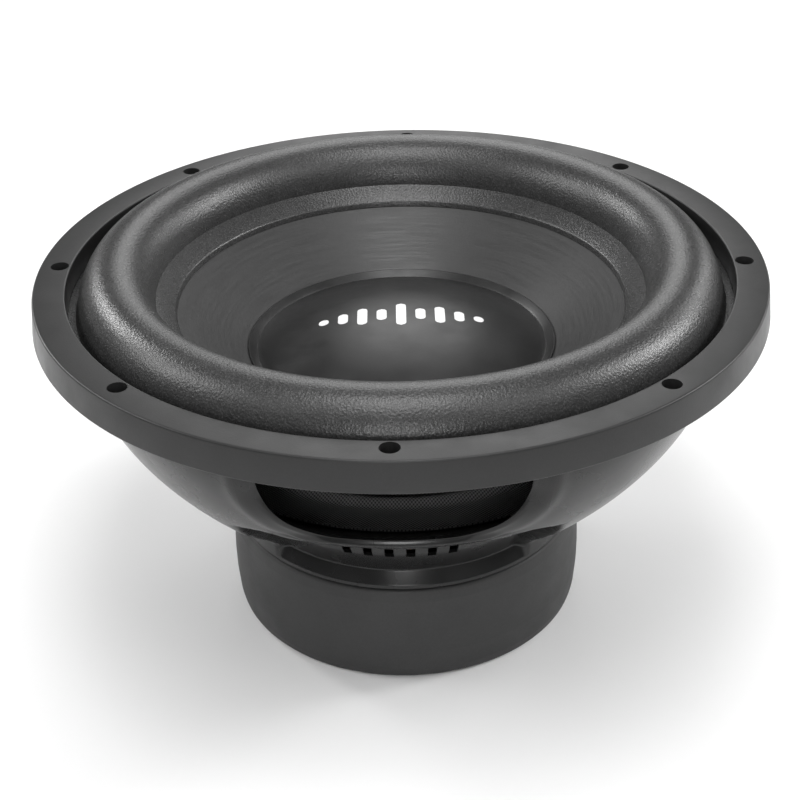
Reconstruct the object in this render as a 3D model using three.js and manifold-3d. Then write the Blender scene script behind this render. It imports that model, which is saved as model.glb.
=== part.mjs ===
// Twelve-inch car subwoofer with a foam surround, three-arm steel basket and rubber-booted magnet.
// Millimetres. +Z points out of the cone, and z = 0 is the underside of the magnet boot.
// The front of the object, with one basket window and one flange hole, faces -Y.
import * as THREE from "three";
import { mergeVertices } from "three/addons/utils/BufferGeometryUtils.js";
import Module from "manifold-3d";

const wasm = await Module();
wasm.setup();

// ---- driving dimensions ----
const SEGMENTS = 36; // facets round the outer parts that turn about the speaker's axis
const INNER_SEGMENTS = 30; // and round the motor and the voice coil
const FIT = 0.3; // gap left between pieces that touch
const SHEET = 1.8; // pressed steel of the basket

const RING_TOP = 165.5;
const RING = { inner: 143.9, outer: 157.7, foot: 159.2, bottom: 152.1, rebate: 155.2, skirt: 157.3 };
const FLANGE = { outer: 157, top: 153.3, thickness: 1.4 };
const HOLES = { count: 8, radius: 149, ring: 3.9, flange: 2.9, surround: 4.3 };

const ROLL = { middle: 123, halfWidth: 15.2, foot: 155.6, height: 19.9, thickness: 1.6, flange: 1.9 };
const CONE = { slope: 0.686, rimR: 106.5, neckR: 32.9, edgeR: 97.8, edgeZ: 148.6, thickness: 1.3 };
const CAP = { flangeR: 68.2, domeR: 64.2, height: 14, thickness: 1.0 };

const BOWL = [[139.9, 148.5], [141.8, 122.8], [124.1, 92.2], [79, 57.5]]; // outer skin, cubic curve
const WINDOW = { count: 3, top: 145, lip: 110.5, halfAngle: 23.2, lipHalfAngle: 16 };
const POCKET = { top: 105.5, bottom: 56.3 };
const SHELF = { outer: 105, inner: 92, z: 96.5 };
const NECK = { topR: 87.6, ventR: 82.6, ventZ: 70.5, footR: 74.2 };
const VENT = { count: 6, pitch: 6.4, width: 3.9, height: 5.8, z: 70 };
const BASE = { outer: 78.8, inner: 37, bottom: 48.5, top: 51 };

const FORMER = { inner: 31.6, outer: 32.1, bottom: 27.5, top: 106 };
const WINDING = { height: 32, middle: 44.2, wire: 0.8 };
const TOP_PLATE = { outer: 75.5, inner: 35.3, bottom: 40.2, top: 48.2 };
const MAGNET = { outer: 77.5, inner: 38, lower: 10.6, thickness: 14.5 };
const YOKE = { plateR: 70, bottom: 2.6, plateTop: 10.3, poleR: 30.8, poleTop: 49, ventR: 11.5 };
const BOOT = { hole: 30, floor: 2.3, innerR: 78.6, top: 48.2, lipR: 76 };
const RIVET = { count: 6, radius: 56, headR: 4.5, head: 2.4, shankR: 2.3, holeR: 2.6, depth: 5 };

const BLOCK = { width: 46, height: 20, inner: 112, outer: 144, z: 105, angles: [163, 197] };
const BUTTON = { r: 4.4, spread: 9.5, pocketEnd: 130, start: 134.4, end: 149, clearance: 0.3 };
const LUG = { width: 5, thickness: 0.8, inner: 105, outer: 117, z: 111 };
const SCREW = { spread: 19.6, headR: 2.6, head: 1.8, shankR: 1.3, holeR: 1.6, depth: 9 };
const LEAD = { r: 1.0, coneR: 50 };
const SPIDER = { inner: 32.4, outer: 104, thickness: 1.0, waves: 5, from: 90, to: 40, depth: 2.6 };

// ---- helpers ----
const rad = THREE.MathUtils.degToRad;
const v2 = ([x, y]) => new THREE.Vector2(x, y);

// A point at a radius, a height and an angle in degrees about +Z from -Y towards +X.
function polar(r, z, deg) {
  return new THREE.Vector3(r * Math.sin(rad(deg)), -r * Math.cos(rad(deg)), z);
}

function toSolid(geometry) {
  const g = geometry.clone();
  g.deleteAttribute("normal");
  g.deleteAttribute("uv");
  const m = mergeVertices(g, 1e-4);
  const mesh = new wasm.Mesh({
    numProp: 3,
    vertProperties: m.attributes.position.array,
    triVerts: new Uint32Array(m.index.array),
  });
  return new wasm.Manifold(mesh);
}

function toGeometry(solid) {
  const m = solid.getMesh();
  const g = new THREE.BufferGeometry();
  g.setAttribute("position", new THREE.BufferAttribute(new Float32Array(m.vertProperties), 3));
  g.setIndex(new THREE.BufferAttribute(new Uint32Array(m.triVerts), 1));
  const flat = g.toNonIndexed();
  flat.computeVertexNormals();
  return flat;
}

// Turns a closed profile of [radius, height] points, given anticlockwise, about +Z.
function revolve(points, segments = SEGMENTS) {
  const closed = [...points, points[0]].map(v2);
  const g = new THREE.LatheGeometry(closed, segments);
  return g.rotateX(Math.PI / 2);
}

// The closed profile of a sheet of even thickness whose outer side is the open line of points.
function sheetProfile(points, thickness) {
  const p = points.map(v2);
  const inner = p.map((q, i) => {
    const along = p[Math.min(i + 1, p.length - 1)].clone().sub(p[Math.max(i - 1, 0)]).normalize();
    return q.clone().add(new THREE.Vector2(-along.y, along.x).multiplyScalar(thickness));
  });
  return [...p, ...inner.reverse()].map((q) => [q.x, q.y]);
}

function cylinder(r, from, to, segments = 12) {
  const length = from.distanceTo(to);
  // The quarter-facet turn keeps its corners off the edges of the parts it cuts.
  const g = new THREE.CylinderGeometry(r, r, length, segments, 1, false, Math.PI / 2 / segments);
  const turn = new THREE.Quaternion().setFromUnitVectors(
    new THREE.Vector3(0, 1, 0),
    to.clone().sub(from).normalize(),
  );
  g.applyQuaternion(turn);
  return g.translate(...from.clone().add(to).multiplyScalar(0.5).toArray());
}

// A box whose length runs outwards from the axis between two radii, at an angle in degrees.
function radialBox(r0, r1, width, z0, z1, deg, offset = 0) {
  const g = new THREE.BoxGeometry(width, r1 - r0, z1 - z0);
  g.translate(offset, -(r0 + r1) / 2, (z0 + z1) / 2);
  return g.rotateZ(rad(deg));
}

// A prism of the given [x, height] outline, pointing outwards from the axis.
function radialPrism(outline, r0, r1, deg) {
  const shape = new THREE.Shape(outline.map(v2));
  const g = new THREE.ExtrudeGeometry(shape, { depth: r1 - r0, bevelEnabled: false });
  g.rotateX(Math.PI / 2).translate(0, -r0, 0);
  return g.rotateZ(rad(deg));
}

const group = new THREE.Group();
const paint = {
  basket: { color: 0x17181a, roughness: 0.32, metalness: 0.55 },
  rubber: { color: 0x2b2c2e, roughness: 0.62, metalness: 0 },
  boot: { color: 0x1c1d1f, roughness: 0.7, metalness: 0 },
  foam: { color: 0x26272a, roughness: 0.85, metalness: 0 },
  cone: { color: 0x2e3033, roughness: 0.55, metalness: 0 },
  cap: { color: 0x232427, roughness: 0.38, metalness: 0 },
  kapton: { color: 0x6b3d17, roughness: 0.5, metalness: 0 },
  copper: { color: 0x9a4f24, roughness: 0.35, metalness: 1 },
  cloth: { color: 0x141416, roughness: 0.95, metalness: 0 },
  steel: { color: 0x9a9c9f, roughness: 0.35, metalness: 1 },
  ferrite: { color: 0x333436, roughness: 0.8, metalness: 0 },
  black: { color: 0x141415, roughness: 0.5, metalness: 0 },
  red: { color: 0xa11717, roughness: 0.4, metalness: 0 },
  brass: { color: 0xb08d4a, roughness: 0.3, metalness: 1 },
  braid: { color: 0xb7b2a6, roughness: 0.5, metalness: 1 },
};

function add(name, shape, finish) {
  const g = shape.isBufferGeometry ? shape : toGeometry(shape);
  const mesh = new THREE.Mesh(g, new THREE.MeshStandardMaterial(paint[finish]));
  mesh.name = name;
  group.add(mesh);
}

const around = (count, make) => Array.from({ length: count }, (_, i) => make((360 / count) * i));
const cutAll = (solid, tools) => tools.reduce((s, t) => s.subtract(toSolid(t)), solid);
const upright = (r, deg, at, z0, z1, n = 10) => cylinder(r, polar(at, z0, deg), polar(at, z1, deg), n);

// ---- basket ----
const [b0, b1, b2, b3] = BOWL.map(v2);
const bowlLine = new THREE.CubicBezierCurve(b0, b1, b2, b3).getPoints(6).map((p) => [p.x, p.y]);
const flangeBottom = FLANGE.top - FLANGE.thickness;

// The skin: flange, bowl and foot in one pressed sheet, outer side first and inner side back up.
const skinInner = sheetProfile([...bowlLine].reverse(), SHEET).slice(bowlLine.length);
const skin = toSolid(
  revolve([
    [BASE.inner, BASE.bottom],
    [BASE.outer, BASE.bottom],
    [BASE.outer, BASE.bottom + 1],
    [NECK.footR, 55.5],
    ...[...bowlLine].reverse(),
    [141.4, flangeBottom],
    [FLANGE.outer, flangeBottom],
    [FLANGE.outer, FLANGE.top],
    [138.6, FLANGE.top],
    ...skinInner,
    [NECK.footR - 2 * SHEET, BASE.top],
    [BASE.inner, BASE.top],
  ]),
);

// The wall inside the arms: from the window lip down to the spider shelf and the vented neck.
const wallLine = [
  [NECK.footR, BASE.top - 1],
  [NECK.footR + 1.6, 57],
  [NECK.ventR, NECK.ventZ],
  [NECK.topR, 87.2],
  [SHELF.inner, SHELF.z - SHEET],
  [SHELF.outer, SHELF.z - SHEET],
  [128.6, WINDOW.lip - 2.5],
];
const wall = toSolid(revolve(sheetProfile(wallLine, SHEET)));

// Window: a wedge that narrows towards the lip. Pocket: the skin below the lip cut away.
const across = (r, deg) => r * Math.sin(rad(deg));
const mirrored = (side) => [...side, ...side.map(([x, z]) => [-x, z]).reverse()];
const windowOutline = mirrored([
  [across(129, WINDOW.lipHalfAngle), WINDOW.lip],
  [across(136, WINDOW.halfAngle - 1.4), WINDOW.lip + 9],
  [across(138, WINDOW.halfAngle), WINDOW.lip + 20],
  [across(138, WINDOW.halfAngle), WINDOW.top - 5],
  [across(138, WINDOW.halfAngle - 2.5), WINDOW.top],
]);
const pocketOutline = mirrored([
  [across(81, 43), POCKET.bottom],
  [across(110, 35.5), 80],
  [across(121, 32.5), 97],
  [across(127, 25), POCKET.top - 2],
  [across(128, 21.5), POCKET.top],
]);
const pocketSkin = around(WINDOW.count, (deg) => radialPrism(pocketOutline, 60, 150, deg));
const windows = around(WINDOW.count, (deg) => radialPrism(windowOutline, 108, 150, deg));
const vents = around(WINDOW.count, (deg) =>
  Array.from({ length: VENT.count }, (_, i) => {
    const turn = deg + (i - (VENT.count - 1) / 2) * VENT.pitch;
    const low = VENT.z - VENT.height / 2;
    return radialBox(74, 92, VENT.width, low, low + VENT.height, turn);
  }),
).flat();
const lugSlots = BLOCK.angles.map((deg) => radialBox(104, 136, 30, LUG.z - 3.5, LUG.z + 3.5, deg));
const rivetHoles = around(RIVET.count, (deg) =>
  upright(RIVET.holeR, deg, RIVET.radius, BASE.bottom - 1, BASE.top + 1, 8),
);
const flangeHoles = around(HOLES.count, (deg) =>
  upright(HOLES.flange, deg, HOLES.radius, flangeBottom - 1, FLANGE.top + 1),
);
const screwHoles = BLOCK.angles.flatMap((deg) =>
  [-SCREW.spread, SCREW.spread].map((side) => screwShaft(deg, side, SCREW.holeR, 118, 140)),
);

function screwShaft(deg, side, r, from, to) {
  const [start, end] = [from, to].map((y) => new THREE.Vector3(side, -y, BLOCK.z));
  return cylinder(r, start, end, 8).rotateZ(rad(deg));
}

const openSkin = cutAll(skin, [...pocketSkin, ...windows]);
const basket = cutAll(openSkin.add(wall), [...vents, ...lugSlots, ...rivetHoles, ...flangeHoles]);
add("basket", cutAll(basket, screwHoles), "basket");

// ---- trim ring ----
const ring = toSolid(
  revolve([
    [RING.inner, RING.rebate],
    [RING.skirt, RING.rebate],
    [RING.skirt, RING.bottom],
    [RING.foot, RING.bottom],
    [RING.outer + 0.2, RING_TOP - 2.2],
    [RING.outer - 0.6, RING_TOP - 0.7],
    [RING.outer - 2, RING_TOP],
    [RING.inner + 0.8, RING_TOP],
    [RING.inner, RING_TOP - 0.8],
  ]),
);
const ringHoles = around(HOLES.count, (deg) =>
  upright(HOLES.ring, deg, HOLES.radius, RING.bottom - 1, RING_TOP + 1),
);
add("trim_ring", cutAll(ring, ringHoles), "rubber");

// ---- surround: outer flange, half roll and the inner flange glued on the cone ----
const coneTop = (r) => CONE.edgeZ - CONE.slope * (CONE.edgeR - r);
const rollLine = Array.from({ length: 9 }, (_, i) => {
  const a = Math.PI * (1 - i / 8);
  return [
    ROLL.middle + ROLL.halfWidth * Math.cos(a),
    ROLL.foot - ROLL.thickness + ROLL.height * Math.sin(a),
  ];
});
const foam = [
  [RING.skirt - 0.3, FLANGE.top + FIT],
  [RING.skirt - 0.3, RING.rebate - FIT],
  [RING.inner - 4.4, RING.rebate - FIT],
];
const rollOuter = rollLine.map(([r, z]) => {
  const q = new THREE.Vector2(r - ROLL.middle, (z - ROLL.foot + ROLL.thickness) * 0.8);
  q.setLength(ROLL.thickness);
  return [r + q.x, z + q.y];
});
const innerFlange = [
  [CONE.edgeR, coneTop(CONE.edgeR) + FIT],
  [CONE.rimR, coneTop(CONE.rimR) + FIT],
];
const surround = toSolid(
  revolve([
    ...foam,
    ...rollOuter.slice(0, -1).reverse(),
    [CONE.edgeR, coneTop(CONE.edgeR) + FIT + ROLL.flange],
    ...innerFlange,
    ...rollLine.slice(1, -1),
    [RING.inner - 5.6, FLANGE.top + FIT],
  ]),
);
const surroundHoles = around(HOLES.count, (deg) =>
  upright(HOLES.surround, deg, HOLES.radius, FLANGE.top - 1, RING.rebate + 1),
);
add("surround", cutAll(surround, surroundHoles), "foam");

// ---- cone and dust cap ----
const coneDown = CONE.thickness / Math.cos(Math.atan(CONE.slope));
add(
  "cone",
  revolve([
    [CONE.neckR, coneTop(CONE.neckR) - coneDown],
    [CONE.rimR, coneTop(CONE.rimR) - coneDown],
    [CONE.rimR, coneTop(CONE.rimR)],
    [CONE.neckR, coneTop(CONE.neckR)],
  ]),
  "cone",
);

const capSeat = (r) => coneTop(r) + FIT;
const creaseZ = capSeat(CAP.domeR) + CAP.thickness;
const domeRadius = (CAP.domeR ** 2 + CAP.height ** 2) / (2 * CAP.height);
const dome = (r, sink) =>
  creaseZ + CAP.height - domeRadius + Math.sqrt(domeRadius ** 2 - r * r) - sink;
const domeR = Array.from({ length: 4 }, (_, i) => (CAP.domeR * i) / 3);
add(
  "dust_cap",
  revolveSolid([
    ...domeR.slice(0, -1).map((r) => [r, dome(r, CAP.thickness)]),
    [CAP.domeR - 0.5, capSeat(CAP.domeR - 0.5)],
    [CAP.flangeR, capSeat(CAP.flangeR)],
    [CAP.flangeR, capSeat(CAP.flangeR) + CAP.thickness],
    ...domeR.map((r) => [r, dome(r, 0)]).reverse(),
  ]),
  "cap",
);

// A profile that begins and ends on the axis.
function revolveSolid(points) {
  return new THREE.LatheGeometry(points.map(v2), SEGMENTS).rotateX(Math.PI / 2);
}

// ---- voice coil and spider ----
const tube = (r0, r1, z0, z1) =>
  revolve([[r0, z0], [r1, z0], [r1, z1], [r0, z1]], INNER_SEGMENTS);
add("coil_former", tube(FORMER.inner, FORMER.outer, FORMER.bottom, FORMER.top), "kapton");
const windingLow = WINDING.middle - WINDING.height / 2;
["coil_winding_inner", "coil_winding_outer"].forEach((name, layer) => {
  const r = FORMER.outer + FIT + layer * (WINDING.wire + FIT);
  add(name, tube(r, r + WINDING.wire, windingLow, windingLow + WINDING.height), "copper");
});

const spiderZ = SHELF.z + FIT;
const spiderTop = Array.from({ length: 2 * SPIDER.waves + 1 }, (_, i) => {
  const t = i / (2 * SPIDER.waves);
  const lift = i % 2 ? SPIDER.depth : 0;
  const r = THREE.MathUtils.lerp(SPIDER.from, SPIDER.to, t);
  return [r, spiderZ + SPIDER.thickness + lift];
});
const spiderLine = [
  [SPIDER.outer, spiderZ + SPIDER.thickness],
  ...spiderTop,
  [SPIDER.inner + 1.6, spiderZ + SPIDER.thickness],
  [SPIDER.inner, spiderZ + SPIDER.thickness],
];
add(
  "spider",
  revolve(
    [...spiderLine, ...spiderLine.map(([r, z]) => [r, z - SPIDER.thickness]).reverse()],
    INNER_SEGMENTS,
  ),
  "cloth",
);

// ---- motor ----
const plateHoles = around(RIVET.count, (deg) =>
  upright(RIVET.holeR, deg, RIVET.radius, TOP_PLATE.top - RIVET.depth - FIT, TOP_PLATE.top + 1, 8),
);
const plate = toSolid(tube(TOP_PLATE.inner, TOP_PLATE.outer, TOP_PLATE.bottom, TOP_PLATE.top));
add("top_plate", cutAll(plate, plateHoles), "steel");

["magnet_lower", "magnet_upper"].forEach((name, i) => {
  const low = MAGNET.lower + i * (MAGNET.thickness + FIT);
  add(name, tube(MAGNET.inner, MAGNET.outer, low, low + MAGNET.thickness), "ferrite");
});

const yokeProfile = [
  [YOKE.ventR + 4, YOKE.bottom],
  [YOKE.plateR, YOKE.bottom],
  [YOKE.plateR, YOKE.plateTop],
  [YOKE.poleR, YOKE.plateTop],
  [YOKE.poleR, YOKE.poleTop],
  [YOKE.ventR + 3, YOKE.poleTop],
  [YOKE.ventR, YOKE.poleTop - 5],
  [YOKE.ventR, YOKE.bottom + 1.8],
  [YOKE.ventR + 4, YOKE.bottom + 1.8],
];
add("yoke", revolve(yokeProfile, INNER_SEGMENTS), "steel");

add(
  "magnet_boot",
  revolve([
    [BOOT.hole, 0],
    [77, 0],
    [80.1, 3],
    [81.3, 20],
    [80.7, 42.5],
    [78.4, BOOT.top],
    [BOOT.lipR, BOOT.top],
    [BOOT.lipR, BOOT.top - 2],
    [BOOT.innerR, BOOT.top - 2.4],
    [BOOT.innerR, BOOT.floor],
    [BOOT.hole, BOOT.floor],
  ]),
  "boot",
);

const screenR = YOKE.ventR + 3.7;
const screen = toSolid(
  new THREE.CylinderGeometry(screenR, screenR, 1, 24)
    .rotateX(Math.PI / 2)
    .translate(0, 0, YOKE.bottom + 1),
);
const screenHoles = [[0, 1], [6, 6]].flatMap(([r, count]) =>
  around(count, (deg) => upright(1.8, deg, r, YOKE.bottom - 1, YOKE.bottom + 3, 8)),
);
add("vent_screen", cutAll(screen, screenHoles), "black");

around(RIVET.count, (deg) => deg).forEach((deg, i) => {
  const low = TOP_PLATE.top - RIVET.depth;
  const shank = toSolid(upright(RIVET.shankR, deg, RIVET.radius, low, BASE.top + 1.5, 8));
  const from = BASE.top + FIT;
  const head = toSolid(upright(RIVET.headR, deg, RIVET.radius, from, from + RIVET.head, 10));
  add(`rivet_${i + 1}`, shank.add(head), "steel");
});

// ---- terminals: a block on each rear arm, with two sprung push buttons ----
const bowlSolid = toSolid(
  revolveSolid([
    [0, 40],
    [80, 40],
    ...sheetProfile([...bowlLine].reverse(), -2 * FIT).slice(bowlLine.length).reverse(),
    [143, FLANGE.top],
    [0, FLANGE.top],
  ]),
);

BLOCK.angles.forEach((deg, n) => {
  const side = "ab"[n];
  const half = BLOCK.height / 2;
  const buttonAt = (x, from, to, r, seg = 16) =>
    cylinder(r, new THREE.Vector3(x, -from, BLOCK.z), new THREE.Vector3(x, -to, BLOCK.z), seg).rotateZ(
      rad(deg),
    );
  const ears = toSolid(radialBox(BLOCK.inner, 137, BLOCK.width, BLOCK.z - 5, BLOCK.z + 5, deg));
  const body = toSolid(radialBox(BLOCK.inner, BLOCK.outer, 33, BLOCK.z - half, BLOCK.z + half, deg));
  const pockets = [-BUTTON.spread, BUTTON.spread].flatMap((x) => [
    buttonAt(x, BUTTON.pocketEnd, BLOCK.outer + 1, BUTTON.r + BUTTON.clearance),
    wireHole(x, deg),
  ]);
  const shafts = [-SCREW.spread, SCREW.spread].map((x) => screwShaft(deg, x, SCREW.holeR, 110, 145));
  add(
    `terminal_block_${side}`,
    cutAll(body.add(ears).subtract(bowlSolid), [...pockets, ...shafts]),
    "black",
  );

  [["red", -BUTTON.spread], ["black", BUTTON.spread]].forEach(([colour, x]) => {
    const plunger = toSolid(buttonAt(x, BUTTON.start, BUTTON.end, BUTTON.r));
    const eye = wireHole(x, deg);
    add(`button_${side}_${colour}`, plunger.subtract(toSolid(eye)), colour);
    const [under, over] = [LUG.z - LUG.thickness / 2, LUG.z + LUG.thickness / 2];
    const lug = radialBox(LUG.inner, LUG.outer, LUG.width, under, over, deg, x);
    add(`lug_${side}_${colour}`, lug, "brass");
    // The flexible lead runs from the lug to the back of the cone.
    const end = polar(LEAD.coneR, coneTop(LEAD.coneR) - coneDown - LEAD.r - FIT, deg + Math.sign(x) * 9);
    const start = new THREE.Vector3(x, -(LUG.inner - 0.4), LUG.z).applyAxisAngle(
      new THREE.Vector3(0, 0, 1),
      rad(deg),
    );
    const middle = start.clone().lerp(end, 0.5);
    middle.z = Math.min(start.z, end.z) - 1;
    const path = new THREE.CatmullRomCurve3([start, middle, end]);
    const section = new THREE.Shape(
      around(6, (a) => new THREE.Vector2(LEAD.r * Math.cos(rad(a)), LEAD.r * Math.sin(rad(a)))),
    );
    add(
      `lead_${side}_${colour}`,
      new THREE.ExtrudeGeometry(section, { steps: 10, bevelEnabled: false, extrudePath: path }),
      "braid",
    );
  });

  [-SCREW.spread, SCREW.spread].forEach((x, i) => {
    const shank = toSolid(screwShaft(deg, x, SCREW.shankR, 138 - SCREW.depth, 138.5));
    const head = toSolid(screwShaft(deg, x, SCREW.headR, 137 + FIT, 137 + FIT + SCREW.head));
    add(`terminal_screw_${side}${i + 1}`, shank.add(head), "steel");
  });
});

// The hole that takes the wire, up through the block and its button.
function wireHole(x, deg) {
  const from = new THREE.Vector3(x, -140, BLOCK.z - BLOCK.height);
  const to = new THREE.Vector3(x, -140, BLOCK.z + 1);
  return cylinder(1.7, from, to, 8).rotateZ(rad(deg));
}

export default group;
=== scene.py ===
import math

import bmesh
import bpy
import numpy as np
from mathutils import Matrix, Vector


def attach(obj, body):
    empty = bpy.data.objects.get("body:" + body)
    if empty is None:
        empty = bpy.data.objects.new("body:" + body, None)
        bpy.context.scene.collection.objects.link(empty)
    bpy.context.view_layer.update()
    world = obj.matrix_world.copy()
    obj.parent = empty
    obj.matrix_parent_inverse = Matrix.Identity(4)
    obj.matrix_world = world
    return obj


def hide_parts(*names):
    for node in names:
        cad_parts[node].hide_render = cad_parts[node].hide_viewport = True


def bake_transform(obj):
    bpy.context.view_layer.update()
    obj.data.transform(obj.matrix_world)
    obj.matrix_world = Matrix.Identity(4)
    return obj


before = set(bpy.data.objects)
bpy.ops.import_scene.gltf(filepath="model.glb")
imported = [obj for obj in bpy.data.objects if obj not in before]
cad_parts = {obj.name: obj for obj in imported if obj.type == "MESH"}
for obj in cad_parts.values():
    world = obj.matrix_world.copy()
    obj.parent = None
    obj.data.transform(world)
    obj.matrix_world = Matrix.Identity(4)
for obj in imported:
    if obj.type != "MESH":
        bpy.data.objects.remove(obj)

MM = 0.001
TAU = 2 * math.pi
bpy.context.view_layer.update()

# ---------------------------------------------------------------- camera
TOP = 165.5  # height of the trim ring's face, whose centre the camera's distance is taken from
CAMERA = {"distance": 707.3, "elevation": 26.0, "turn": 2.0, "yaw": 0.11, "pitch": -4.82, "roll": 1.38}
LENS, SENSOR = 72.9, 36


def add_camera():
    el = math.radians(CAMERA["elevation"])
    place = Vector((0, -CAMERA["distance"] * math.cos(el), CAMERA["distance"] * math.sin(el)))
    ahead, right = Vector((0, math.cos(el), -math.sin(el))), Vector((1, 0, 0))
    up = right.cross(ahead)
    yaw = Matrix.Rotation(math.radians(CAMERA["yaw"]), 3, up)
    ahead, right = yaw @ ahead, yaw @ right
    pitch = Matrix.Rotation(math.radians(CAMERA["pitch"]), 3, right)
    ahead, up = pitch @ ahead, pitch @ up
    roll = Matrix.Rotation(math.radians(CAMERA["roll"]), 3, ahead)
    right, up = roll @ right, roll @ up
    data = bpy.data.cameras.new("camera")
    data.lens, data.sensor_width, data.clip_start, data.clip_end = LENS, SENSOR, 0.01, 50
    camera = bpy.data.objects.new("camera", data)
    bpy.context.scene.collection.objects.link(camera)
    axes = Matrix((right, up, -ahead)).transposed().to_4x4()
    about_z = Matrix.Rotation(math.radians(CAMERA["turn"]), 4, "Z")
    camera.matrix_world = about_z @ Matrix.Translation((place + Vector((0, 0, TOP))) * MM) @ axes
    bpy.context.scene.camera = camera


add_camera()


# ---------------------------------------------------------------- mesh helpers
def new_object(name, verts, faces, material=None, sharp=35):
    """An object from millimetre points, smooth shaded except over edges sharper than the angle."""
    mesh = bpy.data.meshes.new(name)
    mesh.from_pydata([tuple(v) for v in np.asarray(verts, float) * MM], [], faces)
    mesh.validate()
    mesh.update()
    mesh.polygons.foreach_set("use_smooth", [True] * len(mesh.polygons))
    mesh.set_sharp_from_angle(angle=math.radians(sharp))
    o = bpy.data.objects.new(name, mesh)
    bpy.context.scene.collection.objects.link(o)
    if material:
        mesh.materials.append(material)
    return o


def polar(r, deg):
    """x, y of a radius and an angle from -Y towards +X."""
    a = np.radians(deg)
    return r * np.sin(a), -r * np.cos(a)


def rounded(points, radii, steps):
    """The polyline of [radius, height] points, each inner corner rounded to its own radius."""
    out = [points[0]]
    for i in range(1, len(points) - 1):
        p, q, s = (np.array(points[k], float) for k in (i - 1, i, i + 1))
        r = radii[i - 1]
        a, b = p - q, s - q
        la, lb = np.linalg.norm(a), np.linalg.norm(b)
        a, b = a / la, b / lb
        half = math.acos(max(-1, min(1, float(a @ b)))) / 2
        cut = min(r / math.tan(half) if half > 0.02 else 0, la * 0.48, lb * 0.48)
        if r <= 0 or cut < 1e-4 or half > 1.55:
            out.append(tuple(q))
            continue
        for k in range(steps + 1):
            t = k / steps
            curve = (1 - t) ** 2 * (q + a * cut) + 2 * t * (1 - t) * q + t * t * (q + b * cut)
            out.append(tuple(curve))
    out.append(points[-1])
    return out


def lathe(name, profile, material, segments=256, closed=True, sharp=35):
    """Turns a profile of [radius, height] points about the axis. A point on it is one vertex."""
    verts, rings = [], []
    for r, z in profile:
        if r < 1e-6:
            rings.append([len(verts)] * segments)
            verts.append((0, 0, z))
            continue
        rings.append(list(range(len(verts), len(verts) + segments)))
        for k in range(segments):
            a = TAU * k / segments
            verts.append((r * math.sin(a), -r * math.cos(a), z))
    faces = []
    for low, high in zip(rings, rings[1:] + ([rings[0]] if closed else [])):
        for k in range(segments):
            n = (k + 1) % segments
            f = [low[k], low[n], high[n], high[k]]
            f = [v for i, v in enumerate(f) if v not in f[:i]]
            if len(f) > 2:
                faces.append(f)
    return new_object(name, verts, faces, material, sharp)


def cutter(name, r, z0, z1, at, deg, segments=32):
    """An upright cylinder to cut with, its axis at a radius and an angle."""
    x, y = polar(at, deg)
    steps = range(segments)
    circle = [(math.cos(TAU * k / segments), math.sin(TAU * k / segments)) for k in steps]
    verts = [(x + r * c, y + r * s, z) for z in (z0, z1) for c, s in circle]
    nexts = [(k + 1) % segments for k in steps]
    faces = [[k, n, segments + n, segments + k] for k, n in zip(steps, nexts)]
    faces += [list(steps)[::-1], list(range(segments, 2 * segments))]
    return new_object(name, verts, faces)


def joined(objects, name):
    """One object from several, their meshes put together."""
    bm = bmesh.new()
    materials = []
    for o in objects:
        part = bmesh.new()
        part.from_mesh(o.data)
        index = {}
        for k, m in enumerate(o.data.materials):
            if m not in materials:
                materials.append(m)
            index[k] = materials.index(m)
        for f in part.faces:
            f.material_index = index.get(f.material_index, 0)
        mesh = bpy.data.meshes.new("part")
        part.to_mesh(mesh)
        part.free()
        bm.from_mesh(mesh)
        bpy.data.meshes.remove(mesh)
    out = bpy.data.meshes.new(name)
    bm.to_mesh(out)
    bm.free()
    for m in materials:
        out.materials.append(m)
    for o in objects:
        bpy.data.objects.remove(o)
    o = bpy.data.objects.new(name, out)
    bpy.context.scene.collection.objects.link(o)
    return o


def cut(o, cutters, sharp=35):
    """Subtracts the cutters from the object's mesh and removes them."""
    tool = joined(cutters, o.name + "_cutters")
    modifier = o.modifiers.new("cut", "BOOLEAN")
    modifier.operation, modifier.solver, modifier.object = "DIFFERENCE", "EXACT", tool
    freeze(o)
    bpy.data.objects.remove(tool)
    o.data.polygons.foreach_set("use_smooth", [True] * len(o.data.polygons))
    o.data.set_sharp_from_angle(angle=math.radians(sharp))
    return o


def freeze(o):
    """Turns the object's modifiers into its mesh."""
    bpy.context.view_layer.update()
    made = bpy.data.meshes.new_from_object(o.evaluated_get(bpy.context.evaluated_depsgraph_get()))
    o.modifiers.clear()
    old, o.data = o.data, made
    made.name = o.name
    bpy.data.meshes.remove(old)
    return o


def place(o, body, slot, *nodes):
    """The object rides on a body and hides the CAD nodes it takes the place of; the slot is not used."""
    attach(o, body)
    if nodes:
        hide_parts(*nodes)
    return o


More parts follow.
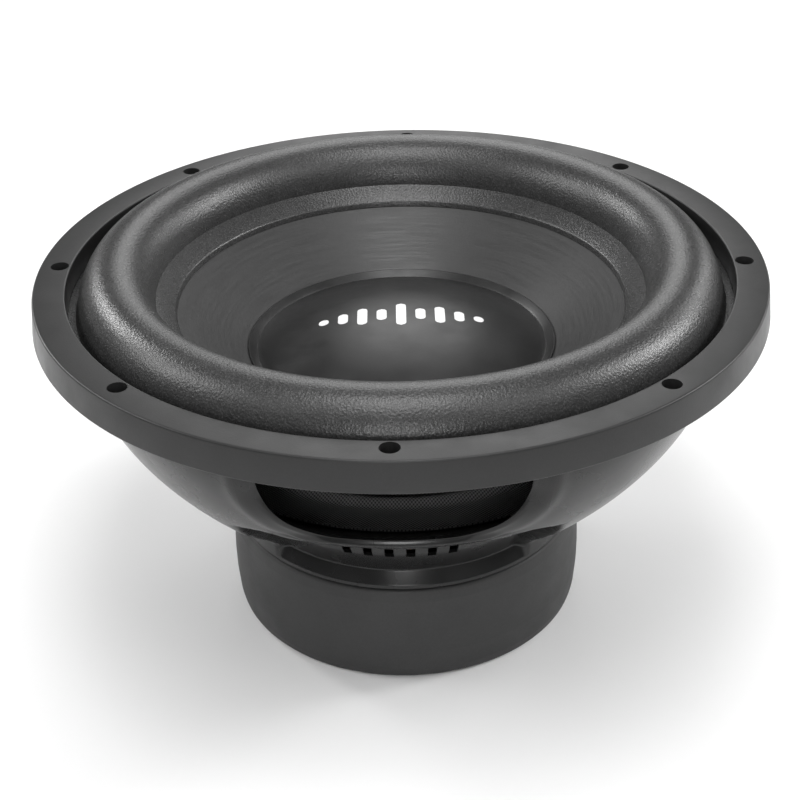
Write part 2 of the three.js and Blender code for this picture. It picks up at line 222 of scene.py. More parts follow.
# ---------------------------------------------------------------- materials
class Graph:
    """A material's node tree, made by short calls."""

    def __init__(self, name):
        self.material = bpy.data.materials.new(name)
        self.material.use_nodes = True
        self.tree = self.material.node_tree
        self.tree.nodes.clear()
        self.out = self.tree.nodes.new("ShaderNodeOutputMaterial")
        self.shader = self.node("ShaderNodeBsdfPrincipled")
        self.link(self.shader.outputs[0], self.out.inputs["Surface"])
        self.at = self.node("ShaderNodeTexCoord").outputs["Object"]

    def node(self, kind, **settings):
        n = self.tree.nodes.new(kind)
        for k, v in settings.items():
            if hasattr(n, k):
                setattr(n, k, v)
            else:
                n.inputs[k.replace("_", " ")].default_value = v
        return n

    def link(self, a, b):
        self.tree.links.new(a, b)

    def noise(self, scale, detail, rough=0.55, vector=None):
        n = self.node("ShaderNodeTexNoise", Scale=scale, Detail=detail, Roughness=rough)
        self.link(vector or self.at, n.inputs["Vector"])
        return n.outputs["Fac"]

    def cells(self, scale):
        n = self.node("ShaderNodeTexVoronoi", Scale=scale)
        self.link(self.at, n.inputs["Vector"])
        return n.outputs["Distance"]

    def math(self, operation, a, b=0.0):
        n = self.node("ShaderNodeMath", operation=operation)
        for k, v in enumerate((a, b)):
            if isinstance(v, (int, float)):
                n.inputs[k].default_value = v
            else:
                self.link(v, n.inputs[k])
        return n.outputs[0]

    def ramp(self, value, stops):
        """Greys between two stops of (place, value)."""
        n = self.node("ShaderNodeValToRGB")
        for e, (p, c) in zip(n.color_ramp.elements, stops):
            e.position, e.color = p, (c, c, c, 1)
        self.link(value, n.inputs["Fac"])
        return n.outputs["Color"]

    def mix(self, factor, a, b):
        n = self.node("ShaderNodeMix", data_type="RGBA")
        self.link(factor, n.inputs["Factor"])
        for socket, v in ((n.inputs[6], a), (n.inputs[7], b)):
            if isinstance(v, tuple):
                socket.default_value = (*v, 1)
            else:
                self.link(v, socket)
        return n.outputs[2]

    def tones(self, factor, dark, light):
        """A mix of two sRGB greys."""
        return self.mix(factor, (grey(dark),) * 3, (grey(light),) * 3)

    def axes(self):
        n = self.node("ShaderNodeSeparateXYZ")
        self.link(self.at, n.inputs[0])
        return n.outputs

    def wave(self, value, rate):
        return self.math("SINE", self.math("MULTIPLY", value, rate))

    def polar(self):
        """Radius in metres and angle in radians about the speaker's axis."""
        x, y, _ = self.axes()
        squares = [self.math("MULTIPLY", v, v) for v in (x, y)]
        return self.math("SQRT", self.math("ADD", *squares)), self.math("ARCTAN2", x, y)

    def bump(self, height, strength, distance, after=None):
        n = self.node("ShaderNodeBump", Strength=strength, Distance=distance)
        self.link(height, n.inputs["Height"])
        if after:
            self.link(after, n.inputs["Normal"])
        return n.outputs["Normal"]

    def set(self, **values):
        """Sets the shader's sockets to constants or links, and gives the material."""
        for k, v in values.items():
            socket = self.shader.inputs[k.replace("_", " ")]
            if isinstance(v, (int, float)):
                socket.default_value = v
            else:
                self.link(v, socket)
        return self.material


def grey(v):
    """The linear value of an sRGB grey of 0 to 255."""
    v /= 255
    return v / 12.92 if v <= 0.04045 else ((v + 0.055) / 1.055) ** 2.4


def moulded_rubber(name, base, spread, rough, bump):
    g = Graph(name)
    fine, broad = g.noise(900, 3), g.noise(28, 4)
    tone = g.mix(broad, (base * (1 - spread),) * 3, (base * (1 + spread),) * 3)
    return g.set(
        Base_Color=g.mix(g.ramp(fine, [(0.35, 0.0), (0.75, 0.35)]), tone, (base * 1.5,) * 3),
        Roughness=g.ramp(g.noise(60, 5), [(0.3, rough - 0.06), (0.7, rough + 0.06)]),
        Normal=g.bump(g.cells(1400), bump, 0.0002, g.bump(broad, 0.05, 0.002)),
        Specular_IOR_Level=0.45,
    )


def basket_paint():
    g = Graph("basket_paint")
    return g.set(
        Base_Color=g.tones(g.noise(14, 3), 20, 27),
        Metallic=0.0,
        Roughness=g.ramp(g.noise(35, 4), [(0.35, 0.24), (0.7, 0.32)]),
        Normal=g.bump(g.noise(260, 2), 0.03, 0.0004),
        Coat_Weight=0.15,
        Coat_Roughness=0.18,
        Specular_IOR_Level=0.32,
    )


def surround_foam():
    g = Graph("surround_foam")
    grain, pores = g.noise(1500, 3, 0.65), g.cells(900)
    cloudy = g.tones(g.ramp(g.noise(160, 5, 0.7), [(0.35, 0.0), (0.7, 1.0)]), 39, 49)
    return g.set(
        Base_Color=g.mix(g.ramp(grain, [(0.52, 0.0), (0.74, 0.45)]), cloudy, (grey(112),) * 3),
        Roughness=g.ramp(g.noise(900, 4, 0.7), [(0.3, 0.24), (0.7, 0.36)]),
        Normal=g.bump(pores, 0.22, 0.0004, g.bump(grain, 0.3, 0.0004)),
        Specular_IOR_Level=0.6,
    )


def cone_poly():
    g = Graph("cone_poly")
    r, angle = g.polar()
    around = g.node("ShaderNodeCombineXYZ")
    g.link(g.math("MULTIPLY", r, 900.0), around.inputs[0])
    g.link(g.math("MULTIPLY", angle, 3.0), around.inputs[1])
    rings = g.noise(1.0, 2, vector=around.outputs[0])
    return g.set(
        Base_Color=g.tones(g.noise(420, 4, 0.7), 46, 59),
        Roughness=g.ramp(rings, [(0.3, 0.36), (0.7, 0.5)]),
        Normal=g.bump(rings, 0.05, 0.0003, g.bump(g.noise(900, 3), 0.12, 0.0003)),
    )


def cap_poly():
    g = Graph("cap_poly")
    return g.set(
        Base_Color=g.tones(g.noise(500, 4, 0.7), 21, 28),
        Roughness=g.ramp(g.noise(80, 4), [(0.3, 0.3), (0.7, 0.42)]),
        Normal=g.bump(g.noise(1200, 2), 0.08, 0.0002),
    )


def white_print():
    g = Graph("white_print")
    return g.set(
        Base_Color=g.tones(g.ramp(g.noise(700, 4, 0.7), [(0.3, 0.0), (0.8, 1.0)]), 216, 238),
        Roughness=g.ramp(g.noise(300, 3), [(0.3, 0.35), (0.7, 0.5)]),
    )


def spider_cloth():
    g = Graph("spider_cloth")
    x, y, _ = g.axes()
    threads_per_m = 4200.0
    warp = g.wave(g.math("ADD", x, y), threads_per_m)
    weft = g.wave(g.math("SUBTRACT", x, y), threads_per_m)
    height = g.math("MULTIPLY", g.math("ADD", warp, weft), 0.25)
    threads = g.ramp(g.math("ADD", height, 0.5), [(0.15, 0.0), (0.75, 1.0)])
    return g.set(
        Base_Color=g.tones(threads, 44, 128), Roughness=0.85, Normal=g.bump(height, 0.5, 0.0005)
    )


def zinc_steel():
    g = Graph("zinc_steel")
    return g.set(
        Base_Color=g.tones(g.noise(120, 5), 150, 182),
        Metallic=1.0,
        Roughness=g.ramp(g.noise(70, 5), [(0.3, 0.28), (0.7, 0.45)]),
        Normal=g.bump(g.noise(600, 3), 0.08, 0.0003),
    )


def ferrite():
    g = Graph("ferrite")
    return g.set(
        Base_Color=g.tones(g.noise(300, 5, 0.7), 34, 52),
        Roughness=0.8,
        Normal=g.bump(g.noise(700, 4), 0.3, 0.0004),
    )


def former_kapton():
    g = Graph("former_kapton")
    amber = g.mix(g.noise(90, 3), (0.18, 0.07, 0.018), (0.26, 0.11, 0.03))
    return g.set(Base_Color=amber, Roughness=0.35)


def coil_copper():
    g = Graph("coil_copper")
    wire = 0.0008  # metres from one turn to the next
    return g.set(
        Base_Color=g.mix(g.noise(200, 3), (0.42, 0.15, 0.06), (0.55, 0.22, 0.1)),
        Metallic=1.0,
        Roughness=0.3,
        Normal=g.bump(g.wave(g.axes()[2], TAU / wire), 0.6, 0.0003),
    )


def black_plastic():
    g = Graph("black_plastic")
    return g.set(
        Base_Color=g.tones(g.noise(60, 3), 24, 34),
        Roughness=g.ramp(g.noise(200, 3), [(0.3, 0.42), (0.7, 0.55)]),
        Normal=g.bump(g.noise(1500, 2), 0.12, 0.0002),
    )


def red_plastic():
    g = Graph("red_plastic")
    return g.set(
        Base_Color=g.mix(g.noise(80, 3), (0.42, 0.012, 0.012), (0.52, 0.02, 0.018)),
        Roughness=g.ramp(g.noise(150, 3), [(0.3, 0.28), (0.7, 0.4)]),
    )


def brass_tab():
    g = Graph("brass_tab")
    return g.set(
        Base_Color=g.mix(g.noise(140, 4), (0.62, 0.42, 0.16), (0.74, 0.54, 0.24)),
        Metallic=1.0,
        Roughness=g.ramp(g.noise(90, 3), [(0.3, 0.22), (0.7, 0.4)]),
    )


def tinsel_braid():
    g = Graph("tinsel_braid")
    _, y, z = g.axes()
    ply = g.wave(g.math("ADD", y, z), 7000.0)
    return g.set(
        Base_Color=g.tones(g.math("ADD", g.math("MULTIPLY", ply, 0.5), 0.5), 120, 196),
        Metallic=0.7,
        Roughness=0.45,
        Normal=g.bump(ply, 0.5, 0.0004),
    )


M = {
    "ring": moulded_rubber("ring_rubber", grey(36), 0.06, 0.4, 0.08),
    "boot": moulded_rubber("boot_rubber", grey(48), 0.07, 0.55, 0.15),
    "basket": basket_paint(),
    "foam": surround_foam(),
    "cone": cone_poly(),
    "cap": cap_poly(),
    "print": white_print(),
    "cloth": spider_cloth(),
    "steel": zinc_steel(),
    "ferrite": ferrite(),
    "kapton": former_kapton(),
    "copper": coil_copper(),
    "plastic": black_plastic(),
    "red": red_plastic(),
    "brass": brass_tab(),
    "braid": tinsel_braid(),
}


# ---------------------------------------------------------------- trim ring and steel flange
HOLE_CIRCLE, HOLE_COUNT = 149.0, 8
HOLE_ANGLES = [360 / HOLE_COUNT * k for k in range(HOLE_COUNT)]
RING = {"inner": 143.9, "outer": 157.8, "foot": 159.2, "skirt": 157.3, "bottom": 152.1, "hole": 4.0}
RING["rebate"] = 155.2  # height of the underside over the surround's edge
FLANGE = {"inner": 138.9, "outer": 157.0, "bottom": 151.9, "top": 153.3, "hole": 2.9}


def make_trim_ring():
    start = (RING["inner"], 160.0)
    corners = [
        (RING["inner"], TOP), (RING["outer"], TOP), (RING["foot"], RING["bottom"]),
        (RING["skirt"], RING["bottom"]), (RING["skirt"], RING["rebate"]),
        (RING["inner"], RING["rebate"]),
    ]
    profile = rounded([start, *corners, start], [0.8, 1.1, 0.6, 0.0, 0.0, 0.4], 6)[:-1]
    ring = lathe("trim_ring_rubber", profile, M["ring"], 288)
    cut(ring, [cutter("hole", RING["hole"], 150, 170, HOLE_CIRCLE, a, 40) for a in HOLE_ANGLES])
    return place(ring, "frame", "ring_rubber", "trim_ring")


# ---------------------------------------------------------------- cone, surround and dust cap
CONE_SLOPE, CONE_EDGE_R, CONE_EDGE_Z = 0.686, 97.8, 148.6
CONE_THICK = 1.3 / math.cos(math.atan(CONE_SLOPE))  # measured upright, through the sloping wall
ROLL_MIDDLE, ROLL_HALF, ROLL_CENTRE_Z, ROLL_RISE = 123.0, 16.6, 155.0, 20.5
GLUE = 0.3  # gap between pieces that are stuck together


def cone_top(r):
    return CONE_EDGE_Z - CONE_SLOPE * (CONE_EDGE_R - r)


def radial_weight(o):
    """Reads a round piece's vertex positions; it sets no bend by radius."""
    co = np.empty(len(o.data.vertices) * 3)
    o.data.vertices.foreach_get("co", co)


def roll_arc(shrink, drop, theta):
    """The half roll's outline, or its underside once shrunk and lowered."""
    across, up = ROLL_HALF - shrink, ROLL_RISE - shrink
    return [(ROLL_MIDDLE + across * math.cos(t), ROLL_CENTRE_Z - drop + up * math.sin(t)) for t in theta]


def make_surround():
    skin, flat_top, flat_bottom, edge = 1.9, 154.9, 153.6, CONE_EDGE_R
    theta = np.radians(np.linspace(4, 177.5, 66))
    inner = ROLL_MIDDLE - ROLL_HALF + 0.05
    ledge = [(r, cone_top(r) + GLUE + skin) for r in (inner, inner - 2, edge + 1.1)]
    rim = [
        (edge + r, cone_top(edge + r) + GLUE + z)
        for r, z in ((0.65, skin - 0.12), (0.55, skin - 0.5), (0, 0.1), (0, 0), (8.5, 0))
    ]
    profile = (
        [(156.9, flat_bottom), (156.9, flat_top), (142.5, flat_top), (140.6, flat_top + 0.2)]
        + roll_arc(0, 0, theta) + ledge + rim
        + roll_arc(1.5, 0.4, theta[::-1][2:-2]) + [(139.2, flat_bottom)]
    )
    o = lathe("surround_foam", profile, M["foam"], 288, sharp=40)
    cut(o, [cutter("hole", 4.3, 152, 157, HOLE_CIRCLE, a) for a in HOLE_ANGLES], 40)
    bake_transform(o)
    radial_weight(o)
    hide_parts("surround")
    return o


def make_cone():
    radii = np.linspace(32.9, 106.5, 24)
    front = [(r, cone_top(r)) for r in radii[::-1]]
    back = [(r, cone_top(r) - CONE_THICK) for r in radii]
    cone = lathe("cone_body", front + back, M["cone"], 256)
    return place(cone, "cone_assembly", "cone_pulp", "cone")


CAP_R, CAP_FLANGE_R, CAP_RISE, CAP_SKIN = 64.2, 68.2, 14.0, 1.0
CAP_CREASE_Z = cone_top(CAP_R) + GLUE + CAP_SKIN
CAP_SPHERE = (CAP_R**2 + CAP_RISE**2) / (2 * CAP_RISE)


def cap_top(r):
    return CAP_CREASE_Z + CAP_RISE - CAP_SPHERE + math.sqrt(CAP_SPHERE**2 - r * r)


def cap_seat(r):
    return cone_top(r) + GLUE


def make_dust_cap():
    radii = np.linspace(0, CAP_R, 30)
    dome = [(r, cap_top(r)) for r in radii[:-1]]
    crease = [(CAP_R - 0.25, cap_top(CAP_R - 0.25)), (CAP_R + 0.3, CAP_CREASE_Z + 0.05)]
    flange = [
        (r, cap_seat(r) + CAP_SKIN * share)
        for r, share in (
            (CAP_R + 1.0, 1), (CAP_FLANGE_R - 0.5, 1), (CAP_FLANGE_R, 0.55), (CAP_FLANGE_R, 0),
        )
    ]
    under = [(CAP_R - 0.5, cap_seat(CAP_R - 0.5))] + [(r, z - CAP_SKIN) for r, z in dome[::-1]]
    profile = (dome + crease + flange + under)[::-1]
    o = lathe("dust_cap_dome", profile, M["cap"], 256, closed=False)
    return place(o, "cone_assembly", "cap_poly", "dust_cap")


BAR_HEIGHTS = (5.0, 9.0, 15.0, 10.0, 20.0, 10.0, 15.0, 9.0, 5.0)


def make_cap_mark():
    """A plain row of white level bars printed on the dome."""
    pitch, width, lift, turn = 8.6, 4.4, 0.07, math.radians(2)
    rows, columns = 24, 9
    verts, faces = [], []
    for k, height in enumerate(BAR_HEIGHTS):
        x0, half = (k - (len(BAR_HEIGHTS) - 1) / 2) * pitch, height / 2
        start = len(verts)
        for j in range(rows + 1):
            y = -half + height * j / rows
            over = max(0.0, abs(y) - (half - width / 2))
            w = math.sqrt(max(0.0, (width / 2) ** 2 - over**2)) + 0.02
            for i in range(columns):
                x = x0 + w * (2 * i / (columns - 1) - 1)
                a = x * math.cos(turn) - y * math.sin(turn)
                b = x * math.sin(turn) + y * math.cos(turn)
                verts.append((a, b, cap_top(math.hypot(a, b)) + lift))
        for j in range(rows):
            for i in range(columns - 1):
                p = start + j * columns + i
                faces.append((p, p + 1, p + columns + 1, p + columns))
    return place(new_object("cap_mark", verts, faces, M["print"]), "cone_assembly", "cap_poly")


# ---------------------------------------------------------------- spider
SHELF_Z = 96.5


def make_spider():
    skin, waves, depth, wave_outer, wave_inner = 0.8, 5, 2.6, 90, 40
    flat = SHELF_Z + GLUE + skin
    top = [(104.0, flat), (91.5, flat)]
    for t in np.linspace(0, 1, 12 * waves + 1):
        rise = depth * 0.5 * (1 - math.cos(TAU * waves * t))
        top.append((wave_outer - (wave_outer - wave_inner) * t, flat + rise))
    top += [(38.5, flat), (34, flat), (32.4, flat)]
    profile = top + [(r, z - skin) for r, z in top[::-1]]
    o = lathe("spider_cloth", profile, M["cloth"], 192, sharp=60)
    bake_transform(o)
    radial_weight(o)
    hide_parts("spider")
    return o


# ---------------------------------------------------------------- basket
BOWL = np.array([(79.0, 57.5), (124.1, 92.2), (141.8, 122.8), (139.9, 148.5)])  # foot to flange
WINDOWS = 3
WINDOW_EDGE, WINDOW_LIP, WINDOW_TOP = 23.2, 109.5, 146.0  # half angle, and the heights of the opening
LIP_FLAT, LIP_CORNER = 10.0, 22.0  # the lower edge: half angle of the straight, height of the corner
TOP_FLAT, TOP_CORNER = 15.0, 8.0  # the same for the upper edge
BOWL_TOP, SHEET = 148.5, 1.6
JOIN_Z = 107.0  # where the pocket's wall meets the lip
FOOT_Z, FOOT_R = 48.6, 78.9
POCKET_EDGE = ((55, 43), (80, 35.5), (97, 32.5), (103.5, 25), (107, 20.5))
WALL = rounded(
    [
        (FOOT_R, FOOT_Z), (78.7, 50.2), (74.5, 55.6), (76.0, 58.2), (82.6, 70.5), (87.6, 87.2),
        (91.5, 94.7), (105, 94.7), (122.5, 103.2), (127.2, 105.0), (128.0, JOIN_Z),
    ],
    [1.5, 1.2, 0, 0, 4, 3, 3, 3, 1.5],
    4,
)
VENT_Z, VENT_R, VENT_SIZE, VENT_PITCH, VENT_COUNT = 70.0, 82.6, (3.9, 5.8), 6.4, 6


def bowl_curve(samples):
    """Points along the bowl's outline, a cubic curve on BOWL's four points."""
    t = np.linspace(0, 1, samples)[:, None]
    weights = ((1 - t) ** 3, 3 * t * (1 - t) ** 2, 3 * t * t * (1 - t), t**3)
    return sum(w * p for w, p in zip(weights, BOWL))


BOWL_POINTS = bowl_curve(2001)
BOWL_WAY = np.gradient(BOWL_POINTS, axis=0)
BOWL_WAY /= np.linalg.norm(BOWL_WAY, axis=1)[:, None]


def bowl_r(z):
    return np.interp(z, BOWL_POINTS[:, 1], BOWL_POINTS[:, 0])


def bowl_normal(z):
    """The outward normal of the bowl at a height, as radius and height parts."""
    way_r, way_z = (np.interp(z, BOWL_POINTS[:, 1], BOWL_WAY[:, k]) for k in (0, 1))
    return way_z, -way_r


def quarter_rise(x, start, end, rise):
    """A quarter ellipse that leaves 0 at start and stands upright at end."""
    u = np.clip((np.abs(x) - start) / (end - start), 0, 1)
    return rise * (1 - np.sqrt(1 - u * u))


def window_low(psi):
    return WINDOW_LIP + quarter_rise(psi, LIP_FLAT, WINDOW_EDGE, LIP_CORNER)


def window_high(psi):
    return WINDOW_TOP - quarter_rise(psi, TOP_FLAT, WINDOW_EDGE, TOP_CORNER)


def smooth(t):
    t = np.clip(t, 0, 1)
    return t * t * (3 - 2 * t)


def skin_columns():
    """Angles over a third of the turn round a window's middle, and the sides of the vents in them."""
    side = math.degrees(VENT_SIZE[0] / 2 / VENT_R)
    vents = [(k + 0.5) * VENT_PITCH + s * side for k in range(VENT_COUNT // 2) for s in (-1, 1)]
    corner = LIP_FLAT + (WINDOW_EDGE - LIP_FLAT) * np.sin(np.radians(np.arange(4, 90, 4)))
    window = np.concatenate([np.arange(0, LIP_FLAT, 0.8), corner])
    window = [a for a in window if min(abs(a - v) for v in vents) > 0.2] + vents
    arm = [np.arange(WINDOW_EDGE, 26, 0.2), np.arange(26, 46, 0.5), np.arange(46, 60.5, 1.0)]
    half = np.concatenate([sorted(window), *arm])
    return np.concatenate([-half[:0:-1], half])[:-1], vents


def wall_path():
    """Points up the pocket's wall, the arm's height beside each, and the two that bound the vents."""
    wall = np.array(WALL)
    run = np.concatenate([[0], np.cumsum(np.hypot(*np.diff(wall, axis=0).T))])
    rising = 20  # the points over which the wall's height only grows
    half = VENT_SIZE[1] / 2
    low, high = (np.interp(z, wall[:rising, 1], run[:rising]) for z in (VENT_Z - half, VENT_Z + half))
    kept, step = 14, 1.5  # points of the foot that stay as they are, and the spacing after them
    even = np.arange(run[kept - 1] + step, run[-1] - 0.8, step)
    at = np.concatenate([run[:kept], even, run[-1:]])
    at = np.array(sorted([a for a in at if min(abs(a - low), abs(a - high)) > 0.7] + [low, high]))
    points = np.stack([np.interp(at, run, wall[:, 0]), np.interp(at, run, wall[:, 1])], 1)
    foot = 9.5  # length of wall beside the arm's foot
    heights = [(0.0, 55.0), (0.26, 70.5), (0.52, 84), (0.65, 89), (0.83, 96), (1.0, JOIN_Z)]
    keys = [(0, FOOT_Z)] + [(foot + share * (run[-1] - foot), z) for share, z in heights]
    arm_z = np.interp(at, *zip(*keys))
    return points, arm_z, (int(np.argmin(abs(at - low))), int(np.argmin(abs(at - high))))


def window_rim():
    """Points all round the window's edge."""
    rim = []
    for bend in np.radians(np.arange(0, 90.01, 0.25)):
        for side in (-1, 1):
            psi = side * (LIP_FLAT + (WINDOW_EDGE - LIP_FLAT) * math.sin(bend))
            rim.append((psi, WINDOW_LIP + LIP_CORNER * (1 - math.cos(bend))))
            psi = side * (TOP_FLAT + (WINDOW_EDGE - TOP_FLAT) * math.sin(bend))
            rim.append((psi, WINDOW_TOP - TOP_CORNER * (1 - math.cos(bend))))
    rim += [(psi, WINDOW_LIP) for psi in np.linspace(-LIP_FLAT, LIP_FLAT, 401)]
    rim += [(psi, WINDOW_TOP) for psi in np.linspace(-TOP_FLAT, TOP_FLAT, 601)]
    upright = np.linspace(WINDOW_LIP + LIP_CORNER, WINDOW_TOP - TOP_CORNER, 61)
    rim += [(side * WINDOW_EDGE, z) for side in (-1, 1) for z in upright]
    psi, z = np.array(rim).T
    return np.stack([*polar(bowl_r(z), psi), z], 1)


def shape_edge(part, psi, rim):
    """Moves a column's points along the bowl's normal: the edge roll, the turned-in side, the swells."""
    roll, turn_in = 1.8, 3.4  # radius of the edge, and how far the arm's side turns in before it
    z = part[:, 1].copy()
    xyz = np.stack([*polar(part[:, 0], psi), z], 1)
    d = np.min(np.linalg.norm(xyz[:, None, :] - rim[None], axis=2), axis=1)
    inside = np.clip(roll - d, 0, 0.88 * roll)
    drop = roll - np.sqrt(roll**2 - inside**2)
    beside = smooth((abs(psi) - 11) / 8) * smooth((z - 113) / 16)
    drop += turn_in * np.clip(1 - d / 10, 0, 1) ** 2 * beside
    frame_swell = 0.55 * np.exp(-(((d - 8.5) / 3.8) ** 2)) * smooth((d - 1) / 4)
    frame_swell *= smooth((z - 104) / 8) * smooth((146 - z) / 6) * (abs(psi) > 13)
    lip_swell = 1.3 * np.exp(-(((z - 107.9) / 1.2) ** 2)) * smooth((20 - abs(psi)) / 5)
    nr, nz = bowl_normal(z)
    part[:, 0] += (frame_swell + lip_swell - drop) * nr
    part[:, 1] += (frame_swell + lip_swell - drop) * nz


def skin_grid(angles):
    """Columns of [radius, height] points, and the rows between which the window and the vents lie."""
    wall, arm_z, vent_rows = wall_path()
    arm_r = np.where(arm_z < BOWL[0, 1], FOOT_R + 0.1 * smooth((arm_z - 50) / 7), bowl_r(arm_z))
    edge = np.interp(arm_z, *zip(*POCKET_EDGE))
    low_rows, gap_rows, high_rows = (np.linspace(0, 1, n)[1:] for n in (15, 11, 9))
    flange_turn = [(140.4, 150.4), (141.9, 151.7), (144.0, 152.1)]
    ease = 2.6  # half the width, in degrees, over which the pocket's side slopes
    columns = []
    for psi in angles:
        pocket = smooth((edge + ease - abs(psi)) / (2 * ease))[:, None]
        lower = (1 - pocket) * np.stack([arm_r, arm_z], 1) + pocket * wall
        lip, top = float(window_low(psi)), float(window_high(psi))
        z = np.concatenate(
            [
                JOIN_Z + (lip - JOIN_Z) * low_rows,
                lip + (top - lip) * gap_rows,
                top + (BOWL_TOP - top) * high_rows,
            ]
        )
        columns.append(np.vstack([lower, np.stack([bowl_r(z), z], 1), flange_turn]))
    columns = np.array(columns)
    rim = window_rim()
    for column, psi in zip(columns, angles):
        shape_edge(column[len(wall) - 6 : -len(flange_turn)], psi, rim)
    first = len(wall) + len(low_rows) - 1
    return columns, (first, first + len(gap_rows)), vent_rows


def make_basket_skin():
    angles, vents = skin_columns()
    columns, (first_gap, last_gap), (vent_low, vent_high) = skin_grid(angles)
    turn = np.concatenate([angles + 360 / WINDOWS * k for k in range(WINDOWS)])
    grid = np.concatenate([columns] * WINDOWS)
    x, y = polar(grid[:, :, 0], turn[:, None])
    verts = np.stack([x, y, grid[:, :, 1]], 2)
    count, rows = verts.shape[:2]
    psi_all = np.concatenate([angles] * WINDOWS)
    faces = []
    for c in range(count):
        n = (c + 1) % count
        a, b = psi_all[c], psi_all[n] if psi_all[n] > psi_all[c] else 60.0
        in_window = a >= -WINDOW_EDGE - 1e-3 and b <= WINDOW_EDGE + 1e-3
        middle = abs((a + b) / 2)
        in_vent = any(low - 1e-3 < middle < high + 1e-3 for low, high in zip(vents[::2], vents[1::2]))
        for r in range(rows - 1):
            if in_window and first_gap <= r < last_gap:
                continue
            if in_vent and vent_low <= r < vent_high:
                continue
            faces.append((c * rows + r, n * rows + r, n * rows + r + 1, c * rows + r + 1))
    o = new_object("basket_skin", verts.reshape(-1, 3), faces, M["basket"], 60)
    bm = bmesh.new()
    bm.from_mesh(o.data)
    bmesh.ops.delete(bm, geom=[v for v in bm.verts if not v.link_faces], context="VERTS")
    bm.to_mesh(o.data)
    bm.free()
    solid = o.modifiers.new("sheet", "SOLIDIFY")
    solid.thickness, solid.offset, solid.use_even_offset = SHEET * MM, -1, False
    freeze(o)
    o.data.polygons.foreach_set("use_smooth", [True] * len(o.data.polygons))
    o.data.set_sharp_from_angle(angle=math.radians(50))
    return o


def make_flange():
    start = (145, FLANGE["bottom"])
    corners = [
        (FLANGE["outer"], FLANGE["bottom"]), (FLANGE["outer"], FLANGE["top"]),
        (FLANGE["inner"], FLANGE["top"]), (FLANGE["inner"], 151.0),
        (140.3, 151.0), (141.5, FLANGE["bottom"]),
    ]
    profile = rounded([start, *corners, start], [0.4, 0.4, 0.4, 0.3, 0.3, 0.5], 3)[:-1]
    flange = lathe("flange", profile, M["basket"], 288)
    cut(flange, [cutter("hole", FLANGE["hole"], 150, 155, HOLE_CIRCLE, a) for a in HOLE_ANGLES])
    return flange


def make_foot():
    start, bottom, top = (37, 49.5), 48.5, 51.0
    corners = [(37, bottom), (78.6, bottom), (77.2, 50.2), (73.2, top), (37, top)]
    profile = rounded([start, *corners, start], [0.3, 0.5, 0.3, 0.3, 0.3], 4)[:-1]
    foot = lathe("foot", profile, M["basket"], 256)
    cut(foot, [cutter("hole", 2.6, 47, 53, 56, 60 * k, 20) for k in range(6)])
    return foot


def make_basket():
    steel = joined([make_basket_skin(), make_flange(), make_foot()], "basket_steel")
    return place(steel, "frame", "pressed_steel", "basket")


# ---------------------------------------------------------------- boot
def make_boot():
    start, wall_inner, floor_top = (30, 1.2), 78.6, 2.3
    corners = [
        (30, 0), (79.4, 0), (80.5, 5), (81.3, 15), (81.4, 24), (81.1, 34), (80.7, 42.5), (79.6, 48.2),
        (76, 48.2), (76, 46.2), (wall_inner, 45.8), (wall_inner, floor_top), (30, floor_top),
    ]
    radii = [0.4, 3.4, 6, 8, 8, 8, 5, 2.6, 0.5, 0.3, 0.5, 0.8, 0.4]
    profile = rounded([start, *corners, start], radii, 7)[:-1]
    boot = lathe("boot_rubber", profile, M["boot"], 256, sharp=60)
    return place(boot, "frame", "boot_rubber", "magnet_boot")


# ---------------------------------------------------------------- flexible leads
TERMINAL_ANGLES = {"a": 163, "b": 197}
LEAD_R, LEAD_CONE_R, LUG_END_R, LUG_Z, BUTTON_SPREAD = 1.0, 50.0, 104.6, 111.0, 9.5


def lead_ends(deg, x):
    """A lead's two ends: at the lug beside its terminal's middle, and behind the cone."""
    turn = math.radians(deg)
    lug = np.array([
        x * math.cos(turn) + LUG_END_R * math.sin(turn),
        x * math.sin(turn) - LUG_END_R * math.cos(turn),
        LUG_Z,
    ])
    height = cone_top(LEAD_CONE_R) - CONE_THICK - LEAD_R - GLUE
    return lug, np.array([*polar(LEAD_CONE_R, deg + math.copysign(9, x)), height])


def make_lead(name, start, end):
    """A tube of three twisted strands along a sagging curve."""
    steps, sides, strands, lay = 72, 18, 3, 7.0
    middle = (start + end) / 2
    middle[2] = min(start[2], end[2]) - 1
    control = 2 * middle - (start + end) / 2
    t = np.linspace(0, 1, steps + 1)[:, None]
    line = (1 - t) ** 2 * start + 2 * t * (1 - t) * control + t * t * end
    along = np.gradient(line, axis=0)
    along /= np.linalg.norm(along, axis=1)[:, None]
    side_way = np.cross(along, (0, 0, 1.0))
    side_way /= np.linalg.norm(side_way, axis=1)[:, None]
    up_way = np.cross(side_way, along)
    run = np.concatenate([[0], np.cumsum(np.linalg.norm(np.diff(line, axis=0), axis=1))])
    verts = []
    for k in range(steps + 1):
        for j in range(sides):
            a = TAU * j / sides
            r = LEAD_R * (0.8 + 0.2 * abs(math.cos(strands / 2 * (a - TAU * run[k] / lay))))
            verts.append(line[k] + r * (math.cos(a) * side_way[k] + math.sin(a) * up_way[k]))
    faces = []
    for k in range(steps):
        for j in range(sides):
            n = (j + 1) % sides
            faces.append((k * sides + j, k * sides + n, (k + 1) * sides + n, (k + 1) * sides + j))
    faces += [list(range(sides))[::-1], list(range(steps * sides, (steps + 1) * sides))]
    return new_object(name, verts, faces, M["braid"], 60)


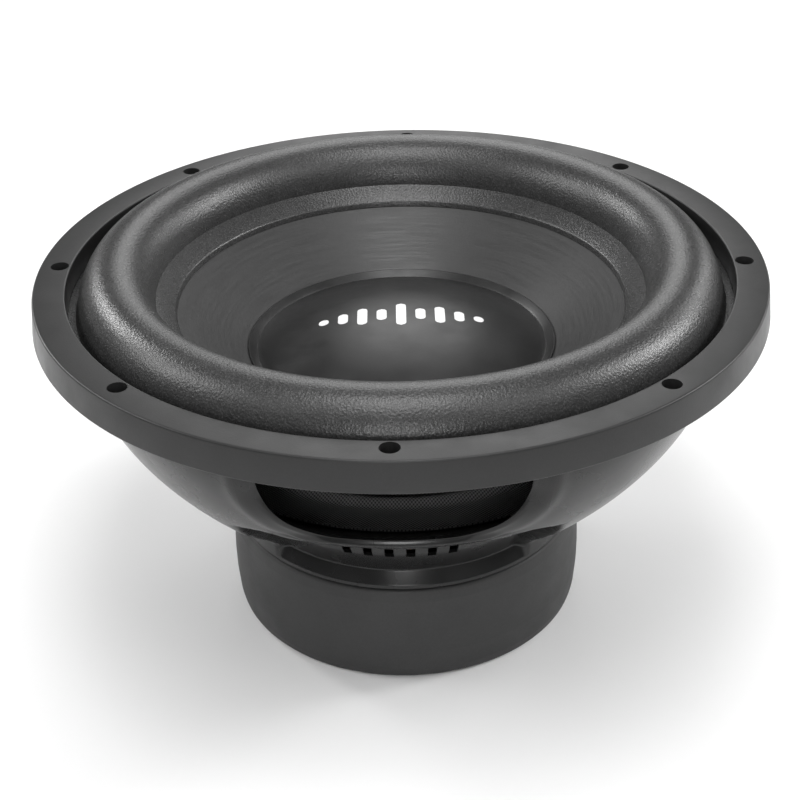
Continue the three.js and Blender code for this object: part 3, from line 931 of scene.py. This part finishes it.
def make_leads():
    """Braid from each solder lug to the back of the cone."""
    for side, deg in TERMINAL_ANGLES.items():
        for colour, x in (("red", -BUTTON_SPREAD), ("black", BUTTON_SPREAD)):
            start, end = lead_ends(deg, x)
            o = make_lead(f"braid_{side}_{colour}", start, end)
            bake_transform(o)
            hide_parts(f"lead_{side}_{colour}")


make_trim_ring()
make_surround()
make_cone()
make_dust_cap()
make_cap_mark()
make_spider()
make_basket()
make_boot()
make_leads()


# ---------------------------------------------------------------- finishes of the CAD nodes that stay
def dress(node, material, edge=0.35):
    """Gives a CAD node a material and, by a modifier, rounded edges of a width in millimetres."""
    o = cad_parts[node]
    o.data.materials.clear()
    o.data.materials.append(material)
    if edge:
        bevel = o.modifiers.new("edge", "BEVEL")
        bevel.width, bevel.segments = edge * MM, 2
        bevel.limit_method, bevel.angle_limit = "ANGLE", math.radians(40)


for node in ("top_plate", "yoke"):
    dress(node, M["steel"])
for node in ("magnet_upper", "magnet_lower"):
    dress(node, M["ferrite"])
for node in ("coil_winding_inner", "coil_winding_outer"):
    dress(node, M["copper"], 0)
dress("coil_former", M["kapton"], 0)
dress("vent_screen", M["plastic"], 0.2)
for k in range(1, 7):
    dress(f"rivet_{k}", M["steel"])
for side in "ab":
    dress(f"terminal_block_{side}", M["plastic"])
    for k in (1, 2):
        dress(f"terminal_screw_{side}{k}", M["steel"])
    for colour in ("red", "black"):
        dress(f"button_{side}_{colour}", M["red"] if colour == "red" else M["plastic"])
        dress(f"lug_{side}_{colour}", M["brass"], 0.15)


# ---------------------------------------------------------------- stage
FAR, AIM_Z, CENTRE_Z = 1.4, 0.13, 0.14  # the boxes' distance, the height they face, and their circle's
SOFT_BOXES = (  # name, angle from the front towards the right, height angle, side, watts
    ("front_low", 0, 18, 0.3, 3.6),
    ("front_top", 0, 66, 0.6, 5.6),
    ("front_right", 45, 42, 0.6, 1.8),
    ("front_left", 315, 42, 0.6, 1.4),
    ("right_low", 105, 25, 0.26, 6.4),
    ("left_low", 233, 25, 0.26, 5.0),
    ("side_left", 270, 34, 0.5, 5.4),
    ("side_right", 90, 38, 0.5, 4.0),
    ("back_right", 135, 18, 0.42, 2.0),
    ("back", 180, 42, 0.7, 4.2),
    ("back_low", 180, 16, 0.5, 1.2),
    ("top", 0, 86, 0.5, 5.0),
)


def make_floor():
    g = Graph("floor_paper")
    paper = g.mix(g.noise(3, 2), (0.9,) * 3, (0.92,) * 3)
    material = g.set(Base_Color=paper, Roughness=0.6, Specular_IOR_Level=0.2)
    size = 6000
    corners = [(-size, -size, 0), (size, -size, 0), (size, size, 0), (-size, size, 0)]
    new_object("floor", corners, [(0, 1, 2, 3)], material)


def light_world():
    world = bpy.data.worlds.new("studio")
    bpy.context.scene.world = world
    world.use_nodes = True
    background = world.node_tree.nodes["Background"]
    background.inputs["Color"].default_value = (1, 1, 1, 1)
    background.inputs["Strength"].default_value = 0.18


def add_soft_box(name, angle, rise, side, power):
    data = bpy.data.lights.new(name, "AREA")
    data.shape, data.size, data.energy = "SQUARE", side, power
    o = bpy.data.objects.new(name, data)
    bpy.context.scene.collection.objects.link(o)
    x, y = polar(FAR * math.cos(math.radians(rise)), angle)
    at = Vector((x, y, CENTRE_Z + FAR * math.sin(math.radians(rise))))
    o.location = at
    o.rotation_euler = (Vector((0, 0, AIM_Z)) - at).to_track_quat("-Z", "Y").to_euler()


def make_stage():
    make_floor()
    light_world()
    for box in SOFT_BOXES:
        add_soft_box(*box)


make_stage()
for view in bpy.context.scene.view_layers:
    view.update()
bpy.context.scene.view_settings.view_transform = "Standard"
